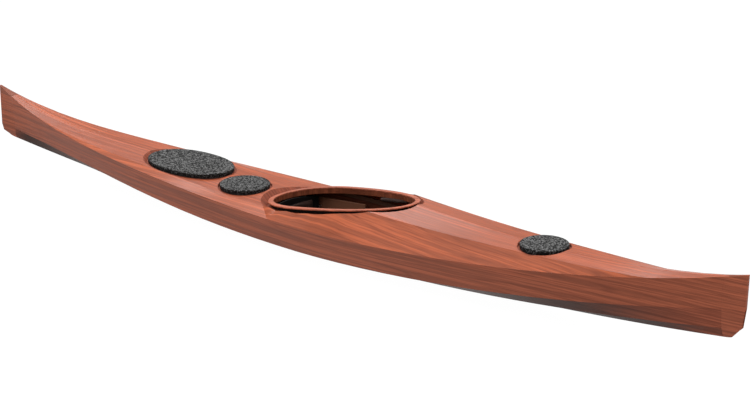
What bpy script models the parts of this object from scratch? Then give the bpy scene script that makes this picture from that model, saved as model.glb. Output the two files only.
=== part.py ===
"""A decked, multi-chine plywood touring kayak, built panel by panel.

Units are metres. X points to the bow, Y to port and Z up. The origin is at the bottom
centre of the boat. Every skin panel is a thin plate mitred to its neighbours, and the
seams, the fittings and the bulkheads keep a small named gap to each other.
"""

import math
from typing import NamedTuple

import bmesh
import bpy
from mathutils import Matrix, Vector

# ---------------------------------------------------------------- driving dimensions

# Overall lines
LENGTH = 4.88
BEAM = 0.60
STEM_WIDTH = 0.012
PANEL_THICKNESS = 0.0045
SEAM_GAP = 0.0003
FIT_GAP = 0.0004
INSIDE_GAP = 0.0011
STATION_COUNT = 34

# Heights of the longitudinal edges above the base line amidships
SHEER_HEIGHT = 0.206
UPPER_CHINE_HEIGHT = 0.0545
LOWER_CHINE_HEIGHT = 0.0225

# Half-breadths of the lower edges amidships
UPPER_CHINE_HALF_BREADTH = 0.237
LOWER_CHINE_HALF_BREADTH = 0.125

# How far each edge has risen at the stern and at the bow
SHEER_RISE_AFT = 0.180
SHEER_RISE_FORE = 0.258
UPPER_CHINE_RISE_AFT = 0.113
UPPER_CHINE_RISE_FORE = 0.256
LOWER_CHINE_RISE_AFT = 0.112
LOWER_CHINE_RISE_FORE = 0.190
KEEL_RISE_AFT = 0.117
KEEL_RISE_FORE = 0.163

# The sheer's rise is a gentle sweep plus a kick up near the ends
SHEER_GENTLE_SHARE_AFT = 0.30
SHEER_GENTLE_SHARE_FORE = 0.81
SHEER_KICK_POWER = 6.0

# Fullness of each edge seen from above, as (power, sharpness), towards the stern and the bow
SHEER_TAPER_AFT = (1.5, 1.0)
SHEER_TAPER_FORE = (1.85, 1.25)
UPPER_CHINE_TAPER_AFT = (2.2, 2.0)
UPPER_CHINE_TAPER_FORE = (1.5, 0.95)
LOWER_CHINE_TAPER_AFT = (2.0, 2.1)
LOWER_CHINE_TAPER_FORE = (1.8, 0.95)

# How far the lower edges stop short of the stems, which rounds the forefoot
UPPER_CHINE_SETBACK = 0.005
LOWER_CHINE_SETBACK = 0.019
KEEL_SETBACK = 0.070

# The end pieces, as a share of the half length where the panels stop
PANEL_END = 0.952
STEM_STEPS = 6

# Deck
FOREDECK_CHINE_HEIGHT = 0.152
FOREDECK_CHINE_SLOPE_END = 2.25
FOREDECK_CHINE_END = 1.97
FOREDECK_CHINE_POWER = 10.0
FOREDECK_RIDGE_HEIGHT = 0.215
FOREDECK_RIDGE_POWER = 1.4
AFTDECK_CHINE_END = 2.25
AFTDECK_CHINE_LOW = 0.009
AFTDECK_CHINE_HEIGHT = 0.022
AFTDECK_CHINE_LIFT = (0.50, 0.95)
AFTDECK_CHINE_FALL_START = 1.0
AFTDECK_CAMBER = 0.012
AFTDECK_CAMBER_FALL_START = 1.2
DECK_CHINE_SHARE_FORE = 0.60
DECK_CHINE_SHARE_AFT = 0.80
DECK_CHINE_WIDEST = 0.184
DECK_CHINE_SPREAD_FORE = (0.6, 3.0)
DECK_CHINE_SPREAD_AFT = (0.9, 1.4)
DECK_CHINE_BLEND_END = 0.30
DECK_RIDGE_BLEND_END = 0.45
NARROWEST_OUTER_DECK = 0.0012

# Cockpit coaming
COCKPIT_AFT = -0.337
COCKPIT_FORE = 0.560
COCKPIT_HALF_WIDTH = 0.220
COCKPIT_WIDEST_SHARE = 0.336
COCKPIT_CORNER_POWER = 2.15
LIP_HEIGHT_AFT = 0.217
LIP_HEIGHT_FORE = 0.365
LIP_WIDTH = 0.027
LIP_THICKNESS = 0.008
LIP_EDGE = 0.002
RISER_THICKNESS = 0.0065
RISER_HEIGHT = 0.024
BAND_THICKNESS = 0.004
RECESS_FLOOR_DEPTH = 0.028
RECESS_FLOOR_MARGIN = 0.004
RECESS_AFT_MARGIN = 0.045
RECESS_FORE_MARGIN = 0.018
RECESS_SIDE_MARGIN = 0.020
RECESS_PAN_THICKNESS = 0.004
COCKPIT_SEGMENTS = 56



class Hatch(NamedTuple):
    """Centre of a hatch, half length and half width of its cover, and its recess.

    The recess reaches further aft by aft_reach, where its wall slopes up to the higher deck.
    """

    x: float
    y: float
    half_length: float
    half_width: float
    corner_power: float
    recess_depth: float
    aft_reach: float


FORE_HATCH = Hatch(1.338, 0.0, 0.1148, 0.1148, 2.0, 0.001, 0.0)
DAY_HATCH = Hatch(-0.5335, -0.038, 0.1275, 0.1275, 2.0, 0.003, 0.0)
AFT_HATCH = Hatch(-0.957, 0.0, 0.2590, 0.1650, 2.2, 0.0005, 0.024)
HATCHES = (("fore", FORE_HATCH), ("day", DAY_HATCH), ("aft", AFT_HATCH))
HATCH_MARGIN = 0.013
HATCH_WALL_SLOPE = 0.002
HATCH_COVER_HEIGHT = 0.0265
HATCH_COVER_TOP = 0.005
HATCH_EDGE_RADIUS = 0.005
HATCH_FOOT_BEVEL = 0.001
HATCH_SKIRT_WIDTH = 0.017
HATCH_SKIRT_CLEARANCE = 0.0045
HATCH_RIM_INSET = 0.022
HATCH_RIM_HEIGHT = 0.010
HATCH_PAN_THICKNESS = 0.003
GASKET_WIDTH = 0.012
GASKET_HEIGHT = 0.0038
HATCH_SEGMENTS = 40

# Inside structure
CLAMP_DEPTH = 0.020
CLAMP_WIDTH = 0.014
CLAMP_END = 0.84
BULKHEAD_THICKNESS = 0.006
FORE_BULKHEAD_X = 1.120
DAY_BULKHEAD_X = -0.680
AFT_BULKHEAD_X = -0.3875

# Seat
SEAT_AFT = -0.230
SEAT_FORE = 0.120
SEAT_BASE_TOP = 0.068
SEAT_PAD_THICKNESS = 0.024
SEAT_PAD_HALF_WIDTH = 0.165
SEAT_PAD_INSET = 0.010
SEAT_PAD_EDGE = 0.008
HIP_PLATE_Y = 0.206
HIP_PLATE_THICKNESS = 0.008
HIP_PLATE_AFT = -0.300
HIP_PLATE_FORE = 0.060
HIP_PLATE_TOP_AFT = 0.165
HIP_PLATE_TOP_FORE = 0.195

# Back band
BACK_BAND_X = -0.235
BACK_BAND_DEPTH = 0.045
BACK_BAND_HALF_WIDTH = 0.185
BACK_BAND_BOTTOM = 0.100
BACK_BAND_TOP = 0.196
BACK_BAND_THICKNESS = 0.005
BACK_BAND_CROWN = 0.016
BACK_BAND_STEPS = 16
BACK_PAD_THICKNESS = 0.014
BACK_PAD_HALF_WIDTH = 0.150
BACK_PAD_FOOT_INSET = 0.006
BACK_PAD_TOP_INSET = 0.022
BACK_PAD_BEVEL = 0.006
BACK_PAD_STEPS = 12
BACK_PIVOT_HEIGHT = 0.125
PIVOT_RADIUS = 0.004
PIVOT_HEAD_RADIUS = 0.008
PIVOT_HEAD_THICKNESS = 0.003
TURNED_STEPS = 16

# Thigh braces
BRACE_AFT = 0.180
BRACE_FORE = 0.400
BRACE_INNER_Y = 0.125
BRACE_OUTER_Y = 0.185
BRACE_THICKNESS = 0.012
BRACE_AFT_CORNER = (0.030, 0.020)
BRACE_FORE_CORNER = (0.060, 0.010)
BRACE_FORE_OUTER_INSET = 0.020
BRACE_EDGE = 0.003

# Foot braces
RAIL_AFT_X = 0.620
RAIL_FORE_X = 1.020
RAIL_SHARE_UP_SIDE = 0.42
RAIL_HEIGHT = 0.024
RAIL_THICKNESS = 0.006
RAIL_PAD_LENGTH = 0.030
RAIL_PAD_THICKNESS = 0.010
RAIL_PAD_STAND_OFF = 0.0015
RAIL_BOLT_RADIUS = 0.003
RAIL_BOLT_HEAD_RADIUS = 0.006
RAIL_BOLT_HEAD_HEIGHT = 0.003
PEDAL_LENGTH = 0.060
PEDAL_CARRIAGE_THICKNESS = 0.010
PEDAL_REACH = 0.075
PEDAL_PLATE_THICKNESS = 0.009
PEDAL_HEIGHT = 0.090
PEDAL_EDGE = 0.002
LEVER_CLEARANCE = 0.004
LEVER_LENGTH = 0.062
LEVER_THICKNESS = 0.006
LEVER_HEIGHT = 0.014
LEVER_EDGE = 0.0012

HALF_LENGTH = LENGTH / 2
HALF_BEAM = BEAM / 2
STEM_HALF = STEM_WIDTH / 2
COCKPIT_MIDDLE = (COCKPIT_AFT + COCKPIT_FORE) / 2 / HALF_LENGTH
FORE_HATCH_MIDDLE = FORE_HATCH.x / HALF_LENGTH
CHINE_END_AFT = -AFTDECK_CHINE_END / HALF_LENGTH
CHINE_END_FORE = FOREDECK_CHINE_END / HALF_LENGTH

# ---------------------------------------------------------------- scene and materials


def clear_scene():
    """Remove whatever the scene holds, so that the script always starts from nothing."""
    for obj in list(bpy.data.objects):
        bpy.data.objects.remove(obj, do_unlink=True)


def make_collection(name, hidden=False):
    collection = bpy.data.collections.new(name)
    bpy.context.scene.collection.children.link(collection)
    collection.hide_render = hidden
    return collection


def make_material(name, colour, roughness, metallic=0.0):
    material = bpy.data.materials.new(name)
    material.use_nodes = True
    shader = material.node_tree.nodes["Principled BSDF"]
    shader.inputs["Base Color"].default_value = (*colour, 1.0)
    shader.inputs["Roughness"].default_value = roughness
    shader.inputs["Metallic"].default_value = metallic
    return material


clear_scene()
KAYAK = make_collection("touring_kayak")
CUTTERS = make_collection("cutters", hidden=True)

HULL_WOOD = make_material("hull_wood", (0.27, 0.10, 0.055), 0.30)
DECK_WOOD = make_material("deck_wood", (0.42, 0.14, 0.07), 0.28)
TRIM_WOOD = make_material("trim_wood", (0.45, 0.16, 0.08), 0.30)
INSIDE_WOOD = make_material("inside_wood", (0.20, 0.08, 0.04), 0.55)
HATCH_RUBBER = make_material("hatch_rubber", (0.03, 0.03, 0.032), 0.80)
BLACK_BAND = make_material("black_band", (0.02, 0.02, 0.022), 0.60)
FOAM = make_material("foam", (0.04, 0.04, 0.045), 0.95)
NYLON = make_material("nylon", (0.05, 0.05, 0.055), 0.50)
ALLOY = make_material("alloy", (0.55, 0.56, 0.58), 0.35, metallic=1.0)
STEEL = make_material("steel", (0.60, 0.60, 0.62), 0.30, metallic=1.0)


def add_mesh(mesh, name, material, origin=(0.0, 0.0, 0.0), collection=None):
    """Make one node from a bmesh in world coordinates, with its origin at a given point."""
    mesh.normal_update()
    bmesh.ops.recalc_face_normals(mesh, faces=mesh.faces)
    bmesh.ops.translate(mesh, vec=-Vector(origin), verts=mesh.verts)
    data = bpy.data.meshes.new(name)
    mesh.to_mesh(data)
    mesh.free()
    obj = bpy.data.objects.new(name, data)
    obj.location = origin
    (collection or KAYAK).objects.link(obj)
    if material is not None:
        data.materials.append(material)
    return obj


def smooth(obj, angle=35.0):
    obj.data.shade_smooth()
    obj.data.set_sharp_from_angle(angle=math.radians(angle))
    return obj


def cut(obj, cutter):
    modifier = obj.modifiers.new("cut_" + cutter.name, "BOOLEAN")
    modifier.operation = "DIFFERENCE"
    modifier.solver = "EXACT"
    modifier.object = cutter
    return obj


def as_cutter(obj):
    obj.hide_render = True
    obj.display_type = "WIRE"
    return obj


# ---------------------------------------------------------------- lines of the boat


def ease(value, start, end):
    """Smooth step from 0 at start to 1 at end."""
    share = min(max((value - start) / (end - start), 0.0), 1.0)
    return share * share * (3.0 - 2.0 * share)


def taper(share, power, sharpness):
    """Full amidships (1) and nothing at the end (0) of a waterline."""
    return max(1.0 - abs(share) ** power, 0.0) ** sharpness


def half_breadth(share, widest, aft, fore):
    """Half-breadth of an edge; aft and fore each give its power and its sharpness."""
    power, sharpness = aft if share < 0 else fore
    return STEM_HALF + (widest - STEM_HALF) * taper(share, power, sharpness)


def rise(share, aft, fore):
    """Height gained by an edge, growing with the square of the way to the stern or the bow."""
    return (aft if share < 0 else fore) * share**2


def sheer_point(share):
    y = half_breadth(share, HALF_BEAM, SHEER_TAPER_AFT, SHEER_TAPER_FORE)
    total, gentle_share = SHEER_RISE_FORE, SHEER_GENTLE_SHARE_FORE
    if share < 0:
        total, gentle_share = SHEER_RISE_AFT, SHEER_GENTLE_SHARE_AFT
    gentle = total * gentle_share * share**2
    kick = total * (1.0 - gentle_share) * abs(share) ** SHEER_KICK_POWER
    return y, SHEER_HEIGHT + gentle + kick


def upper_chine_point(share):
    y = half_breadth(share, UPPER_CHINE_HALF_BREADTH, UPPER_CHINE_TAPER_AFT, UPPER_CHINE_TAPER_FORE)
    return y, UPPER_CHINE_HEIGHT + rise(share, UPPER_CHINE_RISE_AFT, UPPER_CHINE_RISE_FORE)


def lower_chine_point(share):
    y = half_breadth(share, LOWER_CHINE_HALF_BREADTH, LOWER_CHINE_TAPER_AFT, LOWER_CHINE_TAPER_FORE)
    return y, LOWER_CHINE_HEIGHT + rise(share, LOWER_CHINE_RISE_AFT, LOWER_CHINE_RISE_FORE)


def keel_point(share):
    return 0.0, rise(share, KEEL_RISE_AFT, KEEL_RISE_FORE)


def deck_chine_height(x):
    """Height of the deck chine above the sheer."""
    lift = ease(-x, *AFTDECK_CHINE_LIFT)
    aft = AFTDECK_CHINE_LOW + (AFTDECK_CHINE_HEIGHT - AFTDECK_CHINE_LOW) * lift
    aft *= 1.0 - ease(-x, AFTDECK_CHINE_FALL_START, AFTDECK_CHINE_END)
    slope = FOREDECK_CHINE_HEIGHT * (1.0 - x / FOREDECK_CHINE_SLOPE_END)
    fore = slope * max(1.0 - (abs(x) / FOREDECK_CHINE_END) ** FOREDECK_CHINE_POWER, 0.0)
    blend = ease(x, COCKPIT_AFT, DECK_CHINE_BLEND_END)
    return aft * (1.0 - blend) + fore * blend


def ridge_height(x):
    """Height of the centre ridge above the sheer."""
    camber = AFTDECK_CAMBER * (1.0 - ease(-x, AFTDECK_CAMBER_FALL_START, HALF_LENGTH))
    aft = deck_chine_height(min(x, COCKPIT_AFT)) + camber
    share = min(max(1.0 - x / HALF_LENGTH, 0.0), 1.0)
    fore = FOREDECK_RIDGE_HEIGHT * share**FOREDECK_RIDGE_POWER
    blend = ease(x, COCKPIT_AFT, DECK_RIDGE_BLEND_END)
    return aft * (1.0 - blend) + fore * blend


def deck_chine_share(x):
    """Half-breadth of the deck chine as a share of the sheer's."""
    blend = ease(x, COCKPIT_AFT, DECK_RIDGE_BLEND_END)
    middle = DECK_CHINE_SHARE_AFT * (1.0 - blend) + DECK_CHINE_SHARE_FORE * blend
    start, power = DECK_CHINE_SPREAD_AFT if x < 0 else DECK_CHINE_SPREAD_FORE
    end = AFTDECK_CHINE_END if x < 0 else FOREDECK_CHINE_END
    out = min(max((abs(x) - start) / (end - start), 0.0), 1.0)
    return middle + (1.0 - middle) * out**power


def section(share):
    """Outer corners of the port half at a station: keel, chines, sheer, deck chine, ridge."""
    x = share * HALF_LENGTH
    sheer_y, sheer_z = sheer_point(share)
    chine_y = min(sheer_y * deck_chine_share(x), sheer_y - NARROWEST_OUTER_DECK, DECK_CHINE_WIDEST)
    end = max((abs(share) - PANEL_END) / (1.0 - PANEL_END), 0.0) ** 2
    sign = math.copysign(1.0, share)
    corners = []
    for (y, z), setback in (
        (keel_point(share), KEEL_SETBACK),
        (lower_chine_point(share), LOWER_CHINE_SETBACK),
        (upper_chine_point(share), UPPER_CHINE_SETBACK),
        ((sheer_y, sheer_z), 0.0),
        ((chine_y, sheer_z + deck_chine_height(x)), 0.0),
        ((0.0, sheer_z + ridge_height(x)), 0.0),
    ):
        corners.append(Vector((x - sign * setback * end, y, z)))
    return corners


KEEL, LOWER, UPPER, SHEER, CHINE, RIDGE = range(6)


def inward(a, b):
    """Unit normal of the panel from corner a to corner b, pointing into the boat."""
    along = Vector((0.0, b.y - a.y, b.z - a.z)).normalized()
    return Vector((0.0, -along.z, along.y))


def inner_section(share, depth):
    """The corners moved into the boat by a depth, square to the panels that meet there."""
    outer = section(share)
    bottom = inward(outer[KEEL], outer[LOWER])
    bilge = inward(outer[LOWER], outer[UPPER])
    side = inward(outer[UPPER], outer[SHEER])
    top = inward(outer[SHEER], outer[RIDGE])
    wide = (outer[SHEER] - outer[CHINE]).length > 10 * NARROWEST_OUTER_DECK
    outer_deck = inward(outer[SHEER], outer[CHINE]) if wide else top
    inner_deck = inward(outer[CHINE], outer[RIDGE]) if wide else top
    keel_normal = Vector((0.0, 0.0, 1.0))
    ridge_normal = Vector((0.0, 0.0, -1.0))
    pairs = (
        (keel_normal, Vector((0.0, -bottom.y, bottom.z)) + bottom),
        (bottom, bilge),
        (bilge, side),
        (side, outer_deck),
        (outer_deck, inner_deck),
        (ridge_normal, ridge_normal),
    )
    inner = []
    for corner, (first, second) in zip(outer, pairs):
        second = second.normalized()
        stretch = min(1.0 / (1.0 + first.dot(second)), 1.2)
        moved = corner + (first + second) * depth * stretch
        moved.y = max(moved.y, SEAM_GAP / 2) if corner.y > 0 else 0.0
        inner.append(moved)
    keep_chine_inboard(inner)
    return inner


def keep_chine_inboard(inner):
    """Where the outer deck narrows to a point, its inner corners must not cross."""
    inboard = (inner[RIDGE] - inner[SHEER]).normalized()
    if (inner[CHINE] - inner[SHEER]).dot(inboard) < NARROWEST_OUTER_DECK / 2:
        inner[CHINE] = inner[SHEER] + inboard * (NARROWEST_OUTER_DECK / 2)


def evenly(start, end, steps):
    """Evenly spaced values from start to end."""
    return [start + (end - start) * index / steps for index in range(steps + 1)]


def stations(start, end):
    """The boat's common stations from start to end, so that neighbouring plates meet."""
    breaks = {COCKPIT_MIDDLE, FORE_HATCH_MIDDLE, CHINE_END_AFT, CHINE_END_FORE, start, end}
    shares = sorted(breaks | set(evenly(-PANEL_END, PANEL_END, STATION_COUNT)))
    return [share for share in shares if start <= share <= end]


def built(x, corners_at):
    """Corners at x on the plates as built, which run straight from station to station."""
    share = x / HALF_LENGTH
    shares = stations(-PANEL_END, PANEL_END)
    after = next(index for index, value in enumerate(shares) if value >= share and index > 0)
    low, high = shares[after - 1], shares[after]
    blend = (share - low) / (high - low)
    return [a.lerp(b, blend) for a, b in zip(corners_at(low), corners_at(high))]


def inside(x):
    """Corners of the inner faces at x, a small gap inside the plates."""
    return built(x, lambda share: inner_section(share, PANEL_THICKNESS + INSIDE_GAP))


def interpolate(y, corners):
    """Height of a chain of corners at a half-breadth y."""
    for a, b in zip(corners, corners[1:]):
        low, high = sorted((a.y, b.y))
        if low <= y <= high and high > low:
            return a.z + (b.z - a.z) * (y - a.y) / (b.y - a.y)
    return corners[-1].z


def deck_height(x, y):
    """Height of the outer face of the deck."""
    return interpolate(abs(y), built(x, section)[SHEER:])


def hull_floor(x, y):
    """Height of the inner face of the hull bottom and bilge."""
    return interpolate(abs(y), inside(x)[: SHEER + 1])


# ---------------------------------------------------------------- mesh helpers


def loft(rings, looped=False):
    """Join rings of equal length into one closed skin, capped unless it loops round."""
    mesh = bmesh.new()
    rows = [[mesh.verts.new(point) for point in ring] for ring in rings]
    pairs = list(zip(rows, rows[1:]))
    if looped:
        pairs.append((rows[-1], rows[0]))
    count = len(rows[0])
    for first, second in pairs:
        for index in range(count):
            following = (index + 1) % count
            mesh.faces.new((first[index], first[following], second[following], second[index]))
    if not looped:
        mesh.faces.new(rows[0])
        mesh.faces.new(tuple(reversed(rows[-1])))
    return mesh


def mirrored(point, side):
    return Vector((point.x, point.y * side, point.z))


SIDES = (("port", 1.0), ("starboard", -1.0))


def panel_ring(share, first, second, side):
    """Cross-section of one mitred plate between two corners of the section."""
    outer = section(share)
    inner = inner_section(share, PANEL_THICKNESS)
    ring = []
    for near, far in ((outer[first], outer[second]), (inner[first], inner[second])):
        span = far - near
        shift = min(SEAM_GAP / 2 / max(span.length, 1e-6), 0.25)
        start = near + span * shift
        end = far - span * shift
        start.y = max(start.y, SEAM_GAP / 2)
        end.y = max(end.y, SEAM_GAP / 2)
        ring.append((start, end))
    points = (ring[0][0], ring[0][1], ring[1][1], ring[1][0])
    return [mirrored(point, side) for point in points]


def split_mitres(mesh):
    """Split the twisted mitre faces the same way on both plates, so that they can't cross."""
    rows = [mesh.verts[start : start + 4] for start in range(0, len(mesh.verts), 4)]
    for near, far in zip(rows, rows[1:]):
        for outer, inner in ((1, 2), (0, 3)):
            corners = {near[outer], near[inner], far[outer], far[inner]}
            face = next(face for face in near[outer].link_faces if set(face.verts) == corners)
            bmesh.utils.face_split(face, near[outer], far[inner])
    return mesh


def make_panel(name, first, second, start, end, side, material):
    rings = [panel_ring(share, first, second, side) for share in stations(start, end)]
    mesh = loft(rings)
    mesh.verts.ensure_lookup_table()
    return smooth(add_mesh(split_mitres(mesh), name, material))


def rounded(angle, power):
    """Point of a unit oval at an angle; a power over 2 fills its corners out."""
    along = math.copysign(abs(math.cos(angle)) ** (2.0 / power), math.cos(angle))
    across = math.copysign(abs(math.sin(angle)) ** (2.0 / power), math.sin(angle))
    return along, across


def hatch_oval(hatch, offset, aft_reach=0.0):
    """Points of a hatch's outline in plan, moved out by an offset and further at its aft end."""
    points = []
    for index in range(HATCH_SEGMENTS):
        along, across = rounded(2 * math.pi * index / HATCH_SEGMENTS, hatch.corner_power)
        reach = hatch.half_length + offset + (aft_reach if along < 0 else 0.0)
        x = hatch.x + reach * along
        y = hatch.y + (hatch.half_width + offset) * across
        points.append((x, y))
    return points


def cockpit_oval(offset, aft_extra=0.0, fore_extra=0.0, side_extra=0.0):
    """Egg-shaped plan of the coaming, wider aft, moved out by an offset."""
    middle = COCKPIT_AFT + (COCKPIT_FORE - COCKPIT_AFT) * COCKPIT_WIDEST_SHARE
    points = []
    for index in range(COCKPIT_SEGMENTS):
        angle = 2 * math.pi * (index + 0.5) / COCKPIT_SEGMENTS
        along, across = rounded(angle, COCKPIT_CORNER_POWER)
        aft = middle - COCKPIT_AFT + offset + aft_extra
        fore = COCKPIT_FORE - middle + offset + fore_extra
        reach = aft if along < 0 else fore
        points.append((middle + reach * along, (COCKPIT_HALF_WIDTH + offset + side_extra) * across))
    return points


def lip_top(x):
    """Height of the coaming lip's flat top, which slopes up towards the bow."""
    slope = (LIP_HEIGHT_FORE - LIP_HEIGHT_AFT) / (COCKPIT_FORE - COCKPIT_AFT)
    return LIP_HEIGHT_AFT + slope * (x - COCKPIT_AFT)


def ring_loft(outlines, heights):
    """A closed ring whose section has one corner for each outline and height rule."""
    rings = []
    for index in range(len(outlines[0])):
        ring = []
        for outline, height in zip(outlines, heights):
            x, y = outline[index]
            ring.append(Vector((x, y, height(x, y))))
        rings.append(ring)
    return loft(rings, looped=True)


def box_mesh(low, high):
    """A box between two corners, from a primitive cube."""
    mesh = bmesh.new()
    bmesh.ops.create_cube(mesh, size=1.0)
    size = Vector(high) - Vector(low)
    bmesh.ops.scale(mesh, vec=size, verts=mesh.verts)
    bmesh.ops.translate(mesh, vec=(Vector(low) + Vector(high)) / 2, verts=mesh.verts)
    return mesh


def round_edges(obj, width, segments=2):
    modifier = obj.modifiers.new("rounded", "BEVEL")
    modifier.width = width
    modifier.segments = segments
    modifier.limit_method = "ANGLE"
    modifier.angle_limit = math.radians(40)
    return obj


# ---------------------------------------------------------------- hull and deck skins


def make_hull_panels():
    for side_name, side in SIDES:
        for label, first, second in (
            ("hull_bottom", KEEL, LOWER),
            ("hull_bilge", LOWER, UPPER),
            ("hull_side", UPPER, SHEER),
        ):
            make_panel(f"{label}_{side_name}", first, second, -PANEL_END, PANEL_END, side, HULL_WOOD)


def stem_ring(share):
    corners = section(share)
    port = corners[KEEL : SHEER + 1] + [corners[RIDGE]]
    starboard = [mirrored(point, -1.0) for point in reversed(corners[LOWER : SHEER + 1])]
    return port + starboard


def make_stems():
    """Solid end pieces, from where the panels stop to the rounded forefoot."""
    start = PANEL_END + SEAM_GAP / HALF_LENGTH
    for name, sign in (("bow_stem", 1.0), ("stern_stem", -1.0)):
        rings = [stem_ring(sign * share) for share in evenly(start, 1.0, STEM_STEPS)]
        smooth(add_mesh(loft(rings), name, HULL_WOOD))


def prism_cutter(name, outline):
    """An upright cutter through the whole height of the boat."""
    rings = [[Vector((x, y, z)) for x, y in outline] for z in (0.0, 2 * SHEER_HEIGHT + LIP_HEIGHT_FORE)]
    return as_cutter(add_mesh(loft(rings), name, None, collection=CUTTERS))


def make_deck_cutters():
    """One upright cutter for each opening, a fitting gap larger than its pan."""
    cockpit = cockpit_oval(FIT_GAP, RECESS_AFT_MARGIN, RECESS_FORE_MARGIN, RECESS_SIDE_MARGIN)
    cutters = {"cockpit": prism_cutter("cockpit_cutter", cockpit)}
    for name, hatch in HATCHES:
        outline = hatch_oval(hatch, HATCH_MARGIN + FIT_GAP, hatch.aft_reach)
        cutters[name] = prism_cutter(f"{name}_hatch_cutter", outline)
    return cutters


def make_deck_panels(cutters):
    every = ("cockpit", "fore", "aft", "day")
    spans = (
        ("deck_outer", SHEER, CHINE, CHINE_END_AFT, CHINE_END_FORE, every),
        ("aftdeck_inner", CHINE, RIDGE, -PANEL_END, COCKPIT_MIDDLE, ("cockpit", "day", "aft")),
        ("foredeck_inner", CHINE, RIDGE, COCKPIT_MIDDLE, FORE_HATCH_MIDDLE, ("cockpit", "fore")),
        ("bowdeck_inner", CHINE, RIDGE, FORE_HATCH_MIDDLE, PANEL_END, ("fore",)),
    )
    for side_name, side in SIDES:
        for label, first, second, start, end, openings in spans:
            panel = make_panel(f"{label}_{side_name}", first, second, start, end, side, DECK_WOOD)
            for opening in openings:
                cut(panel, cutters[opening])


# ---------------------------------------------------------------- inside structure


def clamp_corners(inner, extra):
    """Section of the strip under the deck edge: sheer, foot, inboard foot, inboard top."""
    corner = inner[SHEER]
    down = (inner[UPPER] - corner).normalized()
    inboard = Vector((0.0, -CLAMP_WIDTH - extra, 0.0))
    foot = corner + down * (CLAMP_DEPTH + extra)
    return [corner, foot, foot + inboard, corner + inboard]


def make_sheer_clamps():
    """Strips that join the hull sides to the deck, from end to end."""
    for side_name, side in SIDES:
        rings = []
        for share in stations(-CLAMP_END, CLAMP_END):
            corners = clamp_corners(inside(share * HALF_LENGTH), 0.0)
            rings.append([mirrored(point, side) for point in corners])
        smooth(add_mesh(loft(rings), f"sheer_clamp_{side_name}", INSIDE_WOOD))


def bulkhead_ring(x):
    """Outline of a bulkhead: the inner skin, notched round the sheer clamps."""
    inner = inside(x)
    _, foot, inboard, _ = clamp_corners(inner, 2 * INSIDE_GAP)
    under_deck = Vector((x, inboard.y, interpolate(inboard.y, inner[SHEER:])))
    port = [inner[LOWER], inner[UPPER], foot, inboard, under_deck, inner[CHINE]]
    starboard = [mirrored(point, -1.0) for point in reversed(port)]
    ring = [inner[KEEL], *port, inner[RIDGE], *starboard]
    return [Vector((x, point.y, point.z)) for point in ring]


def make_bulkheads():
    for name, x in (
        ("fore_bulkhead", FORE_BULKHEAD_X),
        ("day_bulkhead", DAY_BULKHEAD_X),
        ("aft_bulkhead", AFT_BULKHEAD_X),
    ):
        half = BULKHEAD_THICKNESS / 2
        add_mesh(loft([bulkhead_ring(x - half), bulkhead_ring(x + half)]), name, INSIDE_WOOD)


# ---------------------------------------------------------------- hatches


def hatch_floor(hatch):
    """Height of the flat floor of a hatch recess, just below the lowest deck edge round it."""
    outline = hatch_oval(hatch, HATCH_MARGIN)
    return min(deck_height(x, y) for x, y in outline) - hatch.recess_depth


def flat(height):
    return lambda x, y: height


def make_hatch_pan(name, hatch):
    floor = hatch_floor(hatch)
    wall = HATCH_MARGIN
    rim = -HATCH_RIM_INSET
    thin = HATCH_PAN_THICKNESS
    profile = (
        (wall, deck_height),
        (wall - thin, deck_height),
        (wall - thin - HATCH_WALL_SLOPE, flat(floor)),
        (rim, flat(floor)),
        (rim, flat(floor + HATCH_RIM_HEIGHT)),
        (rim - thin, flat(floor + HATCH_RIM_HEIGHT)),
        (rim - thin, flat(floor - thin)),
        (wall, flat(floor - thin)),
    )
    outlines = [hatch_oval(hatch, offset) for offset, _ in profile]
    outlines[0] = hatch_oval(hatch, wall, hatch.aft_reach)
    outlines[1] = hatch_oval(hatch, wall - thin, hatch.aft_reach)
    mesh = ring_loft(outlines, [height for _, height in profile])
    smooth(add_mesh(mesh, f"{name}_hatch_pan", TRIM_WOOD))


def make_hatch_gasket(name, hatch):
    floor = hatch_floor(hatch) + FIT_GAP
    outer = -(HATCH_SKIRT_WIDTH - GASKET_WIDTH) / 2
    inner = outer - GASKET_WIDTH
    top = floor + GASKET_HEIGHT
    profile = ((outer, floor), (outer, top), (inner, top), (inner, floor))
    outlines = [hatch_oval(hatch, offset) for offset, _ in profile]
    mesh = ring_loft(outlines, [flat(height) for _, height in profile])
    smooth(add_mesh(mesh, f"{name}_hatch_gasket", FOAM))


def make_hatch_cover(name, hatch):
    """A rubber lid: a flat top with a rounded edge over a thick skirt that sits on the gasket."""
    floor = hatch_floor(hatch)
    foot = floor + HATCH_SKIRT_CLEARANCE
    top = floor + HATCH_COVER_HEIGHT
    radius = HATCH_EDGE_RADIUS
    shoulder = radius * (1.0 - math.sqrt(0.5))
    profile = (
        (-HATCH_SKIRT_WIDTH, top - HATCH_COVER_TOP),
        (-HATCH_SKIRT_WIDTH, foot),
        (-HATCH_FOOT_BEVEL, foot),
        (0.0, foot + HATCH_FOOT_BEVEL),
        (0.0, top - radius),
        (-shoulder, top - shoulder),
        (-radius, top),
    )
    rings = []
    for offset, height in profile:
        rings.append([Vector((x, y, height)) for x, y in hatch_oval(hatch, offset)])
    origin = (hatch.x, hatch.y, foot)
    smooth(add_mesh(loft(rings), f"{name}_hatch_cover", HATCH_RUBBER, origin))


def make_hatches():
    for name, hatch in HATCHES:
        make_hatch_pan(name, hatch)
        make_hatch_gasket(name, hatch)
        make_hatch_cover(name, hatch)


# ---------------------------------------------------------------- cockpit


def below_lip(drop):
    return lambda x, y: lip_top(x) - drop


def make_cockpit_ring(name, profile, material):
    outlines = [cockpit_oval(offset) for offset, _ in profile]
    heights = [below_lip(drop) for _, drop in profile]
    return smooth(add_mesh(ring_loft(outlines, heights), name, material))


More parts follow.
